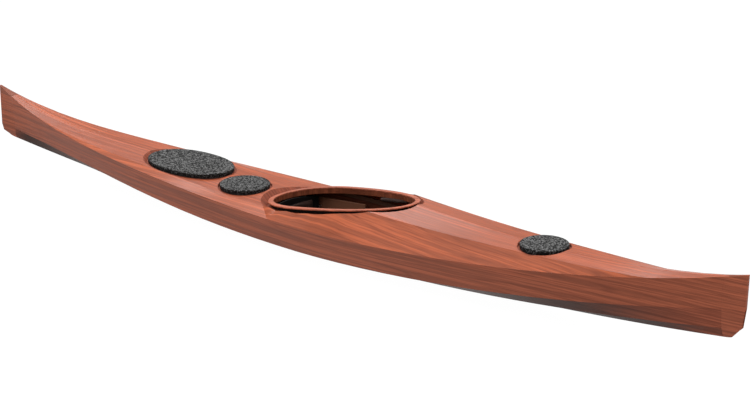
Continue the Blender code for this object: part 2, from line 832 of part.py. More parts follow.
def make_coaming():
    """The lip on its riser, and the black band in the groove that holds a spray deck."""
    edge = LIP_EDGE
    inner = -LIP_WIDTH
    make_cockpit_ring(
        "coaming_lip",
        (
            (-edge, 0.0),
            (0.0, edge),
            (0.0, LIP_THICKNESS - edge),
            (-edge, LIP_THICKNESS),
            (inner, LIP_THICKNESS),
            (inner, edge),
            (inner + edge, 0.0),
        ),
        TRIM_WOOD,
    )
    top = LIP_THICKNESS + SEAM_GAP
    riser_outer = inner + RISER_THICKNESS
    bottom = LIP_THICKNESS + RISER_HEIGHT
    make_cockpit_ring(
        "coaming_riser",
        ((riser_outer, top), (riser_outer, bottom), (inner, bottom), (inner, top)),
        TRIM_WOOD,
    )
    band_inner = riser_outer + FIT_GAP
    band_outer = band_inner + BAND_THICKNESS
    band_bottom = RECESS_FLOOR_DEPTH - FIT_GAP
    band = ((band_outer, top), (band_outer, band_bottom), (band_inner, band_bottom), (band_inner, top))
    make_cockpit_ring("coaming_channel_band", band, BLACK_BAND)


def make_cockpit_recess():
    """The pan round the coaming: a flat floor under the band and a wall sloping up to the deck."""
    inner = -LIP_WIDTH + RISER_THICKNESS + FIT_GAP
    thick = RECESS_PAN_THICKNESS
    edge = cockpit_oval(0.0, RECESS_AFT_MARGIN, RECESS_FORE_MARGIN, RECESS_SIDE_MARGIN)
    floor_edge = cockpit_oval(RECESS_FLOOR_MARGIN)
    floor_inner = cockpit_oval(inner)
    outlines = [floor_inner, floor_edge, edge, edge, floor_edge, floor_inner]
    heights = [
        below_lip(RECESS_FLOOR_DEPTH),
        below_lip(RECESS_FLOOR_DEPTH),
        deck_height,
        lambda x, y: deck_height(x, y) - thick,
        below_lip(RECESS_FLOOR_DEPTH + thick),
        below_lip(RECESS_FLOOR_DEPTH + thick),
    ]
    smooth(add_mesh(ring_loft(outlines, heights), "cockpit_recess_pan", TRIM_WOOD))


# ---------------------------------------------------------------- seat and back band


def seat_base_ring(x):
    inner = inside(x)
    edge = HIP_PLATE_Y - FIT_GAP
    port = [
        Vector((x, inner[LOWER].y, inner[LOWER].z)),
        Vector((x, edge, hull_floor(x, edge))),
        Vector((x, edge, SEAT_BASE_TOP)),
    ]
    starboard = [mirrored(point, -1.0) for point in reversed(port)]
    return [Vector((x, 0.0, inner[KEEL].z)), *port, *starboard]


def make_seat():
    rings = [seat_base_ring(x) for x in (SEAT_AFT, (SEAT_AFT + SEAT_FORE) / 2, SEAT_FORE)]
    add_mesh(loft(rings), "seat_base", FOAM)
    bottom = SEAT_BASE_TOP + FIT_GAP
    low = (SEAT_AFT + SEAT_PAD_INSET, -SEAT_PAD_HALF_WIDTH, bottom)
    high = (SEAT_FORE - SEAT_PAD_INSET, SEAT_PAD_HALF_WIDTH, bottom + SEAT_PAD_THICKNESS)
    pad = add_mesh(box_mesh(low, high), "seat_pad", FOAM)
    smooth(round_edges(pad, SEAT_PAD_EDGE))


def turned(name, profile, location, axis, material):
    """A turned piece: a profile of radius and distance along its axis from a location."""
    mesh = bmesh.new()
    points = [mesh.verts.new((radius, 0.0, height)) for radius, height in profile]
    for first, second in zip(points, points[1:]):
        mesh.edges.new((first, second))
    data = bpy.data.meshes.new(name)
    mesh.to_mesh(data)
    mesh.free()
    obj = bpy.data.objects.new(name, data)
    KAYAK.objects.link(obj)
    data.materials.append(material)
    spin = obj.modifiers.new("turned", "SCREW")
    spin.axis = "Z"
    spin.steps = TURNED_STEPS
    spin.render_steps = TURNED_STEPS
    spin.use_merge_vertices = True
    spin.merge_threshold = 0.0001
    obj.location = location
    obj.rotation_euler = Vector((0.0, 0.0, 1.0)).rotation_difference(axis).to_euler()
    return obj


def crosswise_cylinder(radius, depth):
    """A cylinder along Y, for cutting holes."""
    mesh = bmesh.new()
    sides = {"radius1": radius, "radius2": radius, "segments": 24}
    bmesh.ops.create_cone(mesh, cap_ends=True, depth=depth, **sides)
    upright = Matrix.Rotation(math.radians(90.0), 3, "X")
    bmesh.ops.rotate(mesh, cent=(0, 0, 0), matrix=upright, verts=mesh.verts)
    return mesh


def pivot_hole(side_name, side):
    mesh = crosswise_cylinder(PIVOT_RADIUS + SEAM_GAP, 3 * HIP_PLATE_THICKNESS)
    middle = side * (HIP_PLATE_Y + HIP_PLATE_THICKNESS / 2)
    bmesh.ops.translate(mesh, vec=(BACK_BAND_X, middle, BACK_PIVOT_HEIGHT), verts=mesh.verts)
    return as_cutter(add_mesh(mesh, f"pivot_hole_{side_name}", None, collection=CUTTERS))


def make_hip_plates():
    """Upright plates beside the seat, which carry the back band's pivots."""
    for side_name, side in SIDES:
        outer = HIP_PLATE_Y + HIP_PLATE_THICKNESS
        foot = max(hull_floor(x, outer) for x in (HIP_PLATE_AFT, HIP_PLATE_FORE)) + FIT_GAP
        outline = (
            (HIP_PLATE_AFT, foot),
            (HIP_PLATE_FORE, foot),
            (HIP_PLATE_FORE, HIP_PLATE_TOP_FORE),
            (HIP_PLATE_AFT, HIP_PLATE_TOP_AFT),
        )
        rings = [[Vector((x, side * y, z)) for x, z in outline] for y in (HIP_PLATE_Y, outer)]
        plate = add_mesh(loft(rings), f"hip_plate_{side_name}", INSIDE_WOOD)
        cut(plate, pivot_hole(side_name, side))


def band_curve(share, offset):
    """Plan of the back band: a shallow arc whose middle lies aft of its ends."""
    y = BACK_BAND_HALF_WIDTH * share
    x = BACK_BAND_X - (BACK_BAND_DEPTH - offset) * (1.0 - share * share) + offset * share * share
    return x, y


def band_ring(share, profile):
    """Section of the band at a share of its width: offsets from its curve, and heights."""
    ring = []
    for offset, height in profile:
        x, y = band_curve(share, offset)
        ring.append(Vector((x, y, height)))
    return ring


def make_back_band():
    """A curved shell with a pad in front, turning on a pin in each hip plate."""
    origin = (BACK_BAND_X, 0.0, BACK_PIVOT_HEIGHT)
    half = BACK_BAND_THICKNESS / 2
    rings = []
    for share in evenly(-1.0, 1.0, BACK_BAND_STEPS):
        top = BACK_BAND_TOP - BACK_BAND_CROWN * share * share
        bottom = BACK_BAND_BOTTOM
        profile = ((-half, bottom), (half, bottom), (half, top), (-half, top))
        rings.append(band_ring(share, profile))
    smooth(add_mesh(loft(rings), "back_band_shell", NYLON, origin))
    limit = BACK_PAD_HALF_WIDTH / BACK_BAND_HALF_WIDTH
    near = half + FIT_GAP
    front = near + BACK_PAD_THICKNESS
    bottom = BACK_BAND_BOTTOM + BACK_PAD_FOOT_INSET
    top = BACK_BAND_TOP - BACK_PAD_TOP_INSET
    profile = ((near, bottom), (front, bottom + BACK_PAD_BEVEL), (front, top - BACK_PAD_BEVEL), (near, top))
    rings = [band_ring(share, profile) for share in evenly(-limit, limit, BACK_PAD_STEPS)]
    smooth(add_mesh(loft(rings), "back_band_pad", FOAM, origin))
    make_back_band_pins()


def make_back_band_pins():
    """A headed pin from each end of the band through its hip plate."""
    for side_name, side in SIDES:
        start = BACK_BAND_HALF_WIDTH + FIT_GAP
        end = HIP_PLATE_Y + HIP_PLATE_THICKNESS + SEAM_GAP
        length = end - start + PIVOT_HEAD_THICKNESS
        head = PIVOT_HEAD_THICKNESS
        profile = (
            (0.0, length),
            (PIVOT_HEAD_RADIUS, length),
            (PIVOT_HEAD_RADIUS, length - head),
            (PIVOT_RADIUS, length - head),
            (PIVOT_RADIUS, 0.0),
            (0.0, 0.0),
        )
        location = (BACK_BAND_X, side * start, BACK_PIVOT_HEIGHT)
        turned(f"back_band_pin_{side_name}", profile, location, Vector((0.0, side, 0.0)), STEEL)


def make_thigh_braces():
    """Padded plates under the side decks, which the thighs press up against."""
    under = LIP_THICKNESS + RISER_HEIGHT + FIT_GAP
    for side_name, side in SIDES:
        corners = (
            (BRACE_AFT, BRACE_OUTER_Y),
            (BRACE_AFT + BRACE_AFT_CORNER[0], BRACE_INNER_Y + BRACE_AFT_CORNER[1]),
            (BRACE_FORE - BRACE_FORE_CORNER[0], BRACE_INNER_Y),
            (BRACE_FORE, BRACE_INNER_Y + BRACE_FORE_CORNER[1]),
            (BRACE_FORE, BRACE_OUTER_Y - BRACE_FORE_OUTER_INSET),
        )
        rings = []
        for drop in (under + BRACE_THICKNESS, under):
            rings.append([Vector((x, side * y, lip_top(x) - drop)) for x, y in corners])
        brace = add_mesh(loft(rings), f"thigh_brace_{side_name}", FOAM)
        smooth(round_edges(brace, BRACE_EDGE))


# ---------------------------------------------------------------- foot braces


class RailFrame:
    """Local axes of one foot-brace rail: along the hull side, inboard, and up the side."""

    def __init__(self, side):
        ends = []
        for x in (RAIL_AFT_X, RAIL_FORE_X):
            inner = inside(x)
            ends.append(inner[UPPER].lerp(inner[SHEER], RAIL_SHARE_UP_SIDE))
        self.length = (ends[1] - ends[0]).length
        self.along = (ends[1] - ends[0]).normalized()
        inner = inside((RAIL_AFT_X + RAIL_FORE_X) / 2)
        up_side = inner[SHEER] - inner[UPPER]
        self.up = (up_side - self.along * up_side.dot(self.along)).normalized()
        self.inboard = self.along.cross(self.up)
        if self.inboard.y > 0:
            self.inboard = -self.inboard
        bulge = inner[UPPER].lerp(inner[SHEER], RAIL_SHARE_UP_SIDE) - (ends[0] + ends[1]) / 2
        self.centre = (ends[0] + ends[1]) / 2 + self.inboard * max(-bulge.dot(self.inboard), 0.0)
        self.side = side

    def point(self, along, inboard, up):
        local = self.centre + self.along * along + self.inboard * inboard + self.up * up
        return mirrored(local, self.side)

    def place(self, mesh):
        for vert in mesh.verts:
            vert.co = self.point(*vert.co)
        return mesh


def rail_hole(frame, name, along, depth):
    mesh = crosswise_cylinder(RAIL_BOLT_RADIUS + SEAM_GAP, depth)
    bmesh.ops.translate(mesh, vec=(along, 0.0, 0.0), verts=mesh.verts)
    return as_cutter(add_mesh(frame.place(mesh), name, None, collection=CUTTERS))


def make_rail_bolt(frame, name, along, rail_inner):
    """A bolt through rail and pad, with its head on the rail's inboard face."""
    head_base = rail_inner + SEAM_GAP - RAIL_PAD_STAND_OFF
    top = head_base + RAIL_BOLT_HEAD_HEIGHT
    profile = (
        (0.0, top),
        (RAIL_BOLT_HEAD_RADIUS, top),
        (RAIL_BOLT_HEAD_RADIUS, head_base),
        (RAIL_BOLT_RADIUS, head_base),
        (RAIL_BOLT_RADIUS, 0.0),
        (0.0, 0.0),
    )
    foot = frame.point(along, RAIL_PAD_STAND_OFF, 0.0)
    axis = frame.point(along, RAIL_PAD_STAND_OFF + top, 0.0) - foot
    turned(name, profile, foot, axis, STEEL)


def make_rail(frame, side_name):
    """The rail on its two pads, each held by a bolt."""
    pad_inner = RAIL_PAD_STAND_OFF + RAIL_PAD_THICKNESS
    rail_outer = pad_inner + FIT_GAP
    rail_inner = rail_outer + RAIL_THICKNESS
    half = frame.length / 2
    rail = box_mesh((-half, rail_outer, -RAIL_HEIGHT / 2), (half, rail_inner, RAIL_HEIGHT / 2))
    rail = add_mesh(frame.place(rail), f"foot_rail_{side_name}", ALLOY)
    for end_name, sign in (("aft", -1.0), ("fore", 1.0)):
        along = sign * (half - RAIL_PAD_LENGTH / 2)
        place = f"{side_name}_{end_name}"
        low = (along - RAIL_PAD_LENGTH / 2, RAIL_PAD_STAND_OFF, -RAIL_HEIGHT / 2)
        high = (along + RAIL_PAD_LENGTH / 2, pad_inner, RAIL_HEIGHT / 2)
        pad = add_mesh(frame.place(box_mesh(low, high)), f"rail_pad_{place}", INSIDE_WOOD)
        hole = rail_hole(frame, f"rail_hole_{place}", along, 4 * pad_inner)
        cut(rail, hole)
        cut(pad, hole)
        make_rail_bolt(frame, f"rail_bolt_{place}", along, rail_inner)


def make_pedal(frame, side_name):
    """The foot plate on its carriage, and the sprung lever that locks it to the rail."""
    start = RAIL_PAD_STAND_OFF + RAIL_PAD_THICKNESS + FIT_GAP + RAIL_THICKNESS + SEAM_GAP
    carriage = start + PEDAL_CARRIAGE_THICKNESS
    aft = -PEDAL_LENGTH / 2
    fore = PEDAL_LENGTH / 2
    plate = aft + PEDAL_PLATE_THICKNESS
    outline = (
        (aft, start),
        (fore, start),
        (fore, carriage),
        (plate, carriage),
        (plate, start + PEDAL_REACH),
        (aft, start + PEDAL_REACH),
    )
    rings = []
    for up in (-PEDAL_HEIGHT / 2, PEDAL_HEIGHT / 2):
        rings.append([frame.point(along, inboard, up) for along, inboard in outline])
    pedal = add_mesh(loft(rings), f"foot_pedal_{side_name}", NYLON, frame.point(0.0, start, 0.0))
    smooth(round_edges(pedal, PEDAL_EDGE))
    lever_aft = plate + LEVER_CLEARANCE
    lever_outer = carriage + SEAM_GAP
    low = (lever_aft, lever_outer, -LEVER_HEIGHT / 2)
    high = (lever_aft + LEVER_LENGTH, lever_outer + LEVER_THICKNESS, LEVER_HEIGHT / 2)
    mesh = frame.place(box_mesh(low, high))
    pivot = frame.point(lever_aft + LEVER_THICKNESS / 2, lever_outer + LEVER_THICKNESS / 2, 0.0)
    lever = add_mesh(mesh, f"lock_lever_{side_name}", ALLOY, pivot)
    smooth(round_edges(lever, LEVER_EDGE))


def make_foot_braces():
    for side_name, side in SIDES:
        frame = RailFrame(side)
        make_rail(frame, side_name)
        make_pedal(frame, side_name)


# ---------------------------------------------------------------- the boat


def main():
    make_hull_panels()
    make_stems()
    make_deck_panels(make_deck_cutters())
    make_sheer_clamps()
    make_bulkheads()
    make_hatches()
    make_coaming()
    make_cockpit_recess()
    make_seat()
    make_hip_plates()
    make_back_band()
    make_thigh_braces()
    make_foot_braces()


main()
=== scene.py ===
"""The look of a decked touring kayak of varnished plywood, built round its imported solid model.

The wooden panels, the bulkheads and the cockpit fittings keep the shape they have in the model and
get their finishes here, with fair surfaces and softened edges. The hatch covers are made again in
full detail, and the pads are swelled as cloth.
"""

import logging
import math
from dataclasses import dataclass
from enum import Enum
from typing import Sequence

import bmesh
import bpy
from mathutils import Matrix, Vector


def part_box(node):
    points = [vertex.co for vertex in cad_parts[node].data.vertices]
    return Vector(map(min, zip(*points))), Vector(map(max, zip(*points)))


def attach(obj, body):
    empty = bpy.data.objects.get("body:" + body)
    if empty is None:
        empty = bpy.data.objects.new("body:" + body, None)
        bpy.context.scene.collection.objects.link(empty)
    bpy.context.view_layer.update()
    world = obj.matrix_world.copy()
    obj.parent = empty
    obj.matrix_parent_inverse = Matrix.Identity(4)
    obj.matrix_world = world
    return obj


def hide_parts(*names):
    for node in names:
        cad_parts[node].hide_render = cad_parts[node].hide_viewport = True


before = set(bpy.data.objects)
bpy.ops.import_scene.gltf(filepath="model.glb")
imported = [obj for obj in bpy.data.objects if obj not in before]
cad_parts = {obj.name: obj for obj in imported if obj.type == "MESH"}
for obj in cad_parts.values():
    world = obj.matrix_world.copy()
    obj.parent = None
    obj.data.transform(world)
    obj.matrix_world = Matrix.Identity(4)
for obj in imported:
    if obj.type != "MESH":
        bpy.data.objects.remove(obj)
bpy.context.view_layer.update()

LOG = logging.getLogger("kayak")
NODES: dict[str, bpy.types.Object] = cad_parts
SIDES = ("port", "starboard")
ENDS = ("aft", "fore")
Colour = tuple[float, float, float]

WAVES_PER_THREAD = 6.3
WELD_DISTANCE = 0.00001
CRISP_ANGLE = 24.0
BEVEL_ANGLE = 35.0


# ---------------------------------------------------------------- materials


class Recipe:
    """A material being made: its shader and short ways to add the nodes that feed it."""

    def __init__(self, name: str, constants: dict[str, float]) -> None:
        """Starts the material.

        Args:
            name: The material's name.
            constants: Values of shader sockets that are the same all over the surface.
        """
        self.material = bpy.data.materials.new(name)
        self.material.use_nodes = True
        self.tree = self.material.node_tree
        self.shader = self.tree.nodes["Principled BSDF"]
        for socket, value in constants.items():
            self.shader.inputs[socket].default_value = value

    def add(self, kind: str, inputs: dict, **settings: object) -> bpy.types.Node:
        """Adds a node.

        Args:
            kind: Blender's type name of the node.
            inputs: Values or sockets for the node's inputs, by name or index.
            **settings: Properties of the node.

        Returns:
            The new node.
        """
        node = self.tree.nodes.new(kind)
        for name, value in settings.items():
            setattr(node, name, value)
        for key, value in inputs.items():
            if isinstance(value, bpy.types.NodeSocket):
                self.tree.links.new(value, node.inputs[key])
            elif isinstance(value, tuple) and node.inputs[key].type == "RGBA":
                node.inputs[key].default_value = (*value, 1.0)
            else:
                node.inputs[key].default_value = value
        return node

    def place(self, scale: Colour, shift: Colour = (0.0, 0.0, 0.0)) -> bpy.types.NodeSocket:
        """Object coordinates in metres, stretched and shifted.

        Args:
            scale: How many times finer the pattern is along each axis.
            shift: Offset that gives each piece its own part of the pattern.

        Returns:
            The vector socket.
        """
        source = self.add("ShaderNodeTexCoord", {}).outputs["Object"]
        inputs = {"Vector": source, "Location": shift, "Scale": scale}
        return self.add("ShaderNodeMapping", inputs).outputs["Vector"]

    def noise(self, place: bpy.types.NodeSocket, detail: float = 2.0, roughness: float = 0.5,
              distortion: float = 0.0) -> bpy.types.NodeSocket:
        """Cloudy noise between 0 and 1.

        Args:
            place: Where to read the pattern.
            detail: Number of finer layers.
            roughness: Strength of the finer layers.
            distortion: How far the pattern is pushed about.

        Returns:
            The value socket.
        """
        inputs = {"Vector": place, "Scale": 1.0, "Detail": detail, "Roughness": roughness,
                  "Distortion": distortion}
        return self.add("ShaderNodeTexNoise", inputs).outputs["Fac"]

    def cells(self, place: bpy.types.NodeSocket) -> bpy.types.Node:
        """Small cells round many scattered points, each with its own tint and distance."""
        return self.add("ShaderNodeTexVoronoi", {"Vector": place, "Scale": 1.0})

    def fade(self, value: bpy.types.NodeSocket, low: float, high: float,
             top: float = 1.0) -> bpy.types.NodeSocket:
        """Smooth step of a value.

        Args:
            value: What is stepped.
            low: Value that gives 0.
            high: Value that gives the top.
            top: Largest result.

        Returns:
            The result's socket.
        """
        inputs = {"Value": value, "From Min": low, "From Max": high, "To Max": top}
        node = self.add("ShaderNodeMapRange", inputs, interpolation_type="SMOOTHSTEP")
        return node.outputs["Result"]

    def maths(self, operation: str, first: object, second: object) -> bpy.types.NodeSocket:
        """One arithmetic step on two values or sockets."""
        return self.add("ShaderNodeMath", {0: first, 1: second}, operation=operation).outputs[0]

    def mix(self, first: object, second: object, factor: object) -> bpy.types.NodeSocket:
        """A colour between two colours or colour sockets."""
        node = self.add("ShaderNodeMix", {}, data_type="RGBA")
        for index, value in ((0, factor), (6, first), (7, second)):
            if isinstance(value, bpy.types.NodeSocket):
                self.tree.links.new(value, node.inputs[index])
            elif index == 0:
                node.inputs[index].default_value = value
            else:
                node.inputs[index].default_value = (*value, 1.0)
        return node.outputs[2]

    def times(self, first: bpy.types.NodeSocket, second: bpy.types.NodeSocket) -> bpy.types.NodeSocket:
        """One colour multiplied by another."""
        inputs = {0: 1.0, 6: first, 7: second}
        return self.add("ShaderNodeMix", inputs, data_type="RGBA", blend_type="MULTIPLY").outputs[2]

    def finish(self, colour: bpy.types.NodeSocket, height: bpy.types.NodeSocket, depth: float,
               roughness: bpy.types.NodeSocket | None = None) -> bpy.types.Material:
        """Connects the surface to the shader.

        Args:
            colour: Base colour of the surface.
            height: Relief between 0 and 1.
            depth: Height of that relief in metres.
            roughness: How matt the surface is from place to place, where it varies.

        Returns:
            The finished material.
        """
        relief = self.add("ShaderNodeBump", {"Height": height, "Strength": 1.0, "Distance": depth})
        self.tree.links.new(relief.outputs["Normal"], self.shader.inputs["Normal"])
        self.tree.links.new(colour, self.shader.inputs["Base Color"])
        if roughness is not None:
            self.tree.links.new(roughness, self.shader.inputs["Roughness"])
        return self.material


def shade(colour: Colour, factor: float) -> Colour:
    """The same colour, darker below 1 and lighter above it."""
    return tuple(min(channel * factor, 1.0) for channel in colour)


@dataclass(frozen=True)
class VarnishedWood:
    """Sliced veneer under varnish: arched growth figure, long streaks and short dark pores."""

    name: str
    tone: Colour
    shift: Colour = (0.0, 0.0, 0.0)
    roughness: float = 0.3
    specular: float = 0.24
    figure: float = 0.62
    streaks: float = 0.85
    contrast: float = 1.75
    along: int = 0
    across: int = 1
    fineness: float = 1.0
    # Unshaded tone at the ends; where it is given, the tone amidships is painted shade.
    unshaded_end_tone: Colour | None = None
    bow_blend: tuple[float, float] = (1.5, 2.3)
    stern_blend: tuple[float, float] = (2.2, 2.42)
    ring_scale: tuple[float, float] = (0.34, 9.0)
    ring_count: float = 17.0
    streak_scale: tuple[float, float] = (1.2, 75.0)
    pore_scale: tuple[float, float] = (9.0, 430.0)
    pore_strength: float = 0.35
    cloud_scale: tuple[float, float] = (0.6, 2.6)
    ring_tint: Colour = (0.72, 0.68, 0.66)
    pore_tint: Colour = (0.45, 0.4, 0.38)
    cloud_tint: Colour = (0.86, 0.85, 0.84)
    depth_stretch: float = 2.5
    matt_streaks: float = 0.1
    relief: float = 0.00012

    def stretched(self, along: float, across: float) -> Colour:
        """A pattern scale that is long down the grain and fine across it.

        Args:
            along: Patterns per metre down the grain.
            across: Patterns per metre across it.

        Returns:
            The scale on each axis.
        """
        scale = [along * self.depth_stretch * self.fineness] * 3
        scale[self.along] = along * self.fineness
        scale[self.across] = across * self.fineness
        return tuple(scale)

    def painted_shade_amidships(self, recipe: Recipe, colour: bpy.types.NodeSocket,
                     pale: bpy.types.NodeSocket) -> bpy.types.NodeSocket:
        """Lets the painted shade amidships run into the unshaded tone towards the bow and the stern.

        Args:
            recipe: The material being made.
            colour: The colour amidships, darkened as painted shade.
            pale: The unshaded colour at the ends.

        Returns:
            The blended colour.
        """
        source = recipe.add("ShaderNodeTexCoord", {}).outputs["Object"]
        x = recipe.add("ShaderNodeSeparateXYZ", {"Vector": source}).outputs["X"]
        bow = recipe.fade(x, *self.bow_blend)
        stern = recipe.fade(recipe.maths("MULTIPLY", x, -1.0), *self.stern_blend)
        return recipe.mix(colour, pale, recipe.maths("MAXIMUM", bow, stern))

    def figured(self, recipe: Recipe) -> tuple[bpy.types.NodeSocket, bpy.types.NodeSocket]:
        """Makes the long streaks of the grain.

        Args:
            recipe: The material being made.

        Returns:
            The streaks as they are, and the same with their contrast drawn out.
        """
        place = recipe.place(self.stretched(*self.streak_scale), self.shift)
        streaky = recipe.noise(place, 4.0, 0.65)
        return streaky, recipe.fade(streaky, 0.42, 0.63, self.streaks)

    def material(self) -> bpy.types.Material:
        """Makes the material.

        Returns:
            The varnished wood.
        """
        recipe = Recipe(self.name, {"Roughness": self.roughness, "Specular IOR Level": self.specular})
        growth = recipe.noise(recipe.place(self.stretched(*self.ring_scale), self.shift), 2.0, 0.5, 0.2)
        rings = recipe.maths("PINGPONG", recipe.maths("MULTIPLY", growth, self.ring_count), 0.5)
        arches = recipe.fade(rings, 0.3, 0.5, self.figure)
        streaky, streaks = self.figured(recipe)
        pores = recipe.fade(recipe.noise(recipe.place(self.stretched(*self.pore_scale)), 1.0), 0.56, 0.7)
        cloud = recipe.noise(recipe.place(self.stretched(*self.cloud_scale), self.shift), 1.0)
        clouds = recipe.fade(cloud, 0.3, 0.7)
        tone: object = self.tone
        light: object = shade(self.tone, self.contrast)
        # Painted shade amidships, fading out towards the bow and the stern.
        if self.unshaded_end_tone is not None:
            tone = self.painted_shade_amidships(recipe, self.tone, self.unshaded_end_tone)
            light = self.painted_shade_amidships(recipe, light, shade(self.unshaded_end_tone, self.contrast))
        colour = recipe.mix(tone, light, streaks)
        plain = (1.0, 1.0, 1.0)
        dark = recipe.mix(self.ring_tint, plain, recipe.maths("SUBTRACT", 1.0, arches))
        dark = recipe.mix(dark, self.pore_tint, recipe.maths("MULTIPLY", pores, self.pore_strength))
        uneven = recipe.mix(self.cloud_tint, plain, clouds)
        colour = recipe.times(recipe.times(colour, dark), uneven)
        matt = recipe.maths("ADD", recipe.maths("MULTIPLY", streaks, self.matt_streaks), self.roughness)
        height = recipe.maths("SUBTRACT", recipe.maths("MULTIPLY", streaky, 0.5), pores)
        return recipe.finish(colour, height, self.relief, matt)


@dataclass(frozen=True)
class SpeckledRubber:
    """Pebbled black rubber with pale flecks where the grain stands up."""

    name: str
    dark: Colour
    pale: Colour
    grain: float
    cover: float = 0.5
    depth: float = 0.0006
    finer: float = 2.2
    softness: float = 0.55

    def material(self) -> bpy.types.Material:
        """Makes the material.

        Returns:
            The speckled rubber.
        """
        recipe = Recipe(self.name, {"Roughness": 0.75, "Specular IOR Level": 0.15})
        pebbles = recipe.cells(recipe.place((self.grain,) * 3))
        tints = recipe.add("ShaderNodeSeparateColor", {"Color": pebbles.outputs["Color"]})
        fine = recipe.noise(recipe.place((self.grain * self.finer,) * 3), 2.0, 0.6)
        tint = recipe.maths("ADD", recipe.maths("MULTIPLY", fine, 0.5), tints.outputs["Red"])
        raised = recipe.maths("SUBTRACT", fine, pebbles.outputs["Distance"])
        start = 1.0 - 0.75 * self.cover
        flecks = recipe.fade(tint, start, start + self.softness)
        return recipe.finish(recipe.mix(self.dark, self.pale, flecks), raised, self.depth)


@dataclass(frozen=True)
class Foam:
    """Dense closed-cell foam with a fine cut texture."""

    name: str
    tone: Colour
    grain: float = 900.0
    patches: float = 14.0

    def material(self) -> bpy.types.Material:
        """Makes the material.

        Returns:
            The foam.
        """
        recipe = Recipe(self.name, {"Roughness": 0.88, "Specular IOR Level": 0.25})
        bubbles = recipe.cells(recipe.place((self.grain,) * 3)).outputs["Distance"]
        cloud = recipe.noise(recipe.place((self.patches,) * 3), 3.0)
        colour = recipe.mix(shade(self.tone, 0.7), shade(self.tone, 1.5), cloud)
        colour = recipe.mix(shade(self.tone, 0.4), colour, recipe.fade(bubbles, 0.1, 0.5))
        return recipe.finish(colour, bubbles, 0.0004)


@dataclass(frozen=True)
class WovenCover:
    """Stretch fabric: a fine diagonal knit with a soft sheen."""

    name: str
    tone: Colour
    threads: float = 620.0
    sheen: float = 0.08
    relief: float = 0.0005

    def material(self) -> bpy.types.Material:
        """Makes the material.

        Returns:
            The fabric.
        """
        constants = {"Roughness": 0.8, "Specular IOR Level": 0.2, "Sheen Weight": self.sheen,
                     "Sheen Roughness": 0.4}
        recipe = Recipe(self.name, constants)
        waves = []
        for direction in ("X", "Y", "Z"):
            inputs = {"Vector": recipe.place((self.threads / WAVES_PER_THREAD,) * 3), "Scale": 1.0,
                      "Distortion": 0.4, "Detail": 1.0}
            node = recipe.add("ShaderNodeTexWave", inputs, bands_direction=direction)
            waves.append(node.outputs["Fac"])
        knit = recipe.maths("MULTIPLY", recipe.maths("ADD", waves[0], waves[1]), 0.5)
        knit = recipe.maths("MULTIPLY", recipe.maths("ADD", knit, waves[2]), 0.5)
        wear = recipe.noise(recipe.place((11.0,) * 3), 3.0)
        colour = recipe.mix(shade(self.tone, 0.6), shade(self.tone, 1.5), knit)
        colour = recipe.mix(colour, shade(self.tone, 2.2), recipe.fade(wear, 0.5, 0.8, 0.4))
        return recipe.finish(colour, knit, self.relief)


@dataclass(frozen=True)
class MouldedNylon:
    """Glass-filled nylon: an even spark-eroded texture with faint flow marks."""

    name: str
    tone: Colour
    roughness: float = 0.5

    def material(self) -> bpy.types.Material:
        """Makes the material.

        Returns:
            The nylon.
        """
        recipe = Recipe(self.name, {"Specular IOR Level": 0.12})
        grain = recipe.noise(recipe.place((1100.0,) * 3), 2.0)
        flow = recipe.noise(recipe.place((22.0, 40.0, 22.0)), 4.0, 0.6, 0.8)
        colour = recipe.mix(shade(self.tone, 0.8), shade(self.tone, 1.35), flow)
        scuffed = recipe.fade(flow, 0.55, 0.8, 0.15)
        rough = recipe.maths("ADD", scuffed, self.roughness)
        return recipe.finish(colour, grain, 0.00015, rough)


@dataclass(frozen=True)
class BrushedMetal:
    """Metal with fine lines along one axis."""

    name: str
    tone: Colour
    roughness: float
    along: int = 0

    def material(self) -> bpy.types.Material:
        """Makes the material.

        Returns:
            The metal.
        """
        recipe = Recipe(self.name, {"Metallic": 1.0})
        scale = [900.0] * 3
        scale[self.along] = 22.0
        lines = recipe.noise(recipe.place(tuple(scale)), 3.0, 0.6)
        cloud = recipe.noise(recipe.place((30.0,) * 3), 2.0)
        colour = recipe.mix(shade(self.tone, 0.8), shade(self.tone, 1.1), lines)
        dull = recipe.maths("MULTIPLY", recipe.fade(cloud, 0.45, 0.75), 0.14)
        rough = recipe.maths("ADD", recipe.maths("MULTIPLY", lines, 0.12), self.roughness)
        return recipe.finish(colour, lines, 0.00004, recipe.maths("ADD", rough, dull))


@dataclass(frozen=True)
class LitFloor:
    """The studio's floor: a wide white light table with the faintest unevenness."""

    name: str
    tone: Colour
    glow: float = 0.99

    def material(self) -> bpy.types.Material:
        """Makes the material.

        Returns:
            The floor's surface.
        """
        constants = {"Roughness": 0.95, "Specular IOR Level": 0.0, "Emission Strength": self.glow}
        recipe = Recipe(self.name, constants)
        recipe.shader.inputs["Emission Color"].default_value = (1.0, 1.0, 1.0, 1.0)
        cloud = recipe.noise(recipe.place((0.7,) * 3), 3.0)
        colour = recipe.mix(shade(self.tone, 0.985), self.tone, cloud)
        return recipe.finish(colour, cloud, 0.0002)


